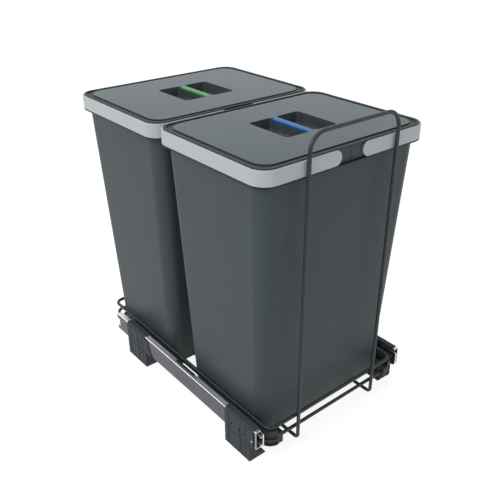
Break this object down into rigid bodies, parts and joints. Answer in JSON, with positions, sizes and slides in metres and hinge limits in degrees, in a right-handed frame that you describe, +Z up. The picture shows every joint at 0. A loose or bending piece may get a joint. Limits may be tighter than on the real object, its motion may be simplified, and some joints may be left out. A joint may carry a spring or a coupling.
{
  "type": "pull-out waste bin unit",
  "caption": "Pull-out waste bin unit: tapered lidded bins in a wire tray on ball-bearing side runners with floor brackets and a front wire loop.",
  "frame": {"origin": "centre of the overall box, on the floor plane under the brackets", "axes": "+Z up, +X to the right when facing the front, +Y to the back: the tray slides out along -Y"},
  "size_m": [0.3462, 0.5058, 0.537],
  "materials": {
    "bracket_plastic": "satin moulded",
    "bright_steel": "bright",
    "runner_steel": "zinc plated, semi-bright",
    "bumper_rubber": "matt",
    "pad_plastic": "ribbed",
    "cage_plastic": "satin",
    "rail_plastic": "satin moulded",
    "wire_paint": "satin powder coat",
    "bin_plastic": "fine satin",
    "band_plastic": "satin",
    "lid_plastic": "satin",
    "blue_plastic": "satin",
    "green_plastic": "satin"
  },
  "bodies": {
    "base": {"front_left_bracket": "bracket_plastic", "front_right_bracket": "bracket_plastic", "rear_left_bracket": "bracket_plastic", "rear_right_bracket": "bracket_plastic", "bracket_rivets": "bright_steel", "left_outer_runner": "runner_steel", "right_outer_runner": "runner_steel", "left_runner_bumper": "bumper_rubber", "right_runner_bumper": "bumper_rubber", "left_runner_grip_pad": "pad_plastic", "right_runner_grip_pad": "pad_plastic"},
    "tray": {"left_inner_runner": "runner_steel", "right_inner_runner": "runner_steel", "left_side_rail": "rail_plastic", "right_side_rail": "rail_plastic", "rail_screws": "bright_steel", "upper_ring_wire": "wire_paint", "lower_ring_wire": "wire_paint", "front_loop_wire": "wire_paint", "base_cross_wires": "wire_paint"},
    "left_middle": {"left_middle_runner": "runner_steel"},
    "left_outer_cage": {"left_outer_ball_cage": "cage_plastic", "left_outer_balls": "bright_steel"},
    "left_inner_cage": {"left_inner_ball_cage": "cage_plastic", "left_inner_balls": "bright_steel"},
    "right_middle": {"right_middle_runner": "runner_steel"},
    "right_outer_cage": {"right_outer_ball_cage": "cage_plastic", "right_outer_balls": "bright_steel"},
    "right_inner_cage": {"right_inner_ball_cage": "cage_plastic", "right_inner_balls": "bright_steel"},
    "front_bin": {"front_bin": "bin_plastic"},
    "front_band": {"front_rim_band": "band_plastic"},
    "front_lid": {"front_lid": "lid_plastic", "front_lid_grip_strip": "blue_plastic"},
    "back_bin": {"back_bin": "bin_plastic"},
    "back_band": {"back_rim_band": "band_plastic"},
    "back_lid": {"back_lid": "lid_plastic", "back_lid_grip_strip": "green_plastic"}
  },
  "joints": [
    {"name": "tray_slide", "type": "slide", "parent": "base", "child": "tray", "axis": [0, -1, 0], "range_m": [0, 0.43]},
    {"name": "left_middle_slide", "type": "slide", "parent": "base", "child": "left_middle", "axis": [0, -1, 0], "range_m": [0, 0.215]},
    {"name": "left_outer_cage_slide", "type": "slide", "parent": "base", "child": "left_outer_cage", "axis": [0, -1, 0], "range_m": [0, 0.1075]},
    {"name": "left_inner_cage_slide", "type": "slide", "parent": "base", "child": "left_inner_cage", "axis": [0, -1, 0], "range_m": [0, 0.3225]},
    {"name": "right_middle_slide", "type": "slide", "parent": "base", "child": "right_middle", "axis": [0, -1, 0], "range_m": [0, 0.215]},
    {"name": "right_outer_cage_slide", "type": "slide", "parent": "base", "child": "right_outer_cage", "axis": [0, -1, 0], "range_m": [0, 0.1075]},
    {"name": "right_inner_cage_slide", "type": "slide", "parent": "base", "child": "right_inner_cage", "axis": [0, -1, 0], "range_m": [0, 0.3225]},
    {"name": "front_bin_lift", "type": "slide", "parent": "tray", "child": "front_bin", "axis": [0, 0, 1], "range_m": [0, 0.52]},
    {"name": "front_band_lift", "type": "slide", "parent": "front_bin", "child": "front_band", "axis": [0, 0, 1], "range_m": [0, 0.07]},
    {"name": "front_lid_lift", "type": "slide", "parent": "front_band", "child": "front_lid", "axis": [0, 0, 1], "range_m": [0, 0.075]},
    {"name": "back_bin_lift", "type": "slide", "parent": "tray", "child": "back_bin", "axis": [0, 0, 1], "range_m": [0, 0.52]},
    {"name": "back_band_lift", "type": "slide", "parent": "back_bin", "child": "back_band", "axis": [0, 0, 1], "range_m": [0, 0.07]},
    {"name": "back_lid_lift", "type": "slide", "parent": "back_band", "child": "back_lid", "axis": [0, 0, 1], "range_m": [0, 0.075]}
  ],
  "couplings": [
    {"joint": "left_middle_slide", "follows": "tray_slide", "ratio": 0.5},
    {"joint": "left_outer_cage_slide", "follows": "tray_slide", "ratio": 0.25},
    {"joint": "left_inner_cage_slide", "follows": "tray_slide", "ratio": 0.75},
    {"joint": "right_middle_slide", "follows": "tray_slide", "ratio": 0.5},
    {"joint": "right_outer_cage_slide", "follows": "tray_slide", "ratio": 0.25},
    {"joint": "right_inner_cage_slide", "follows": "tray_slide", "ratio": 0.75}
  ]
}
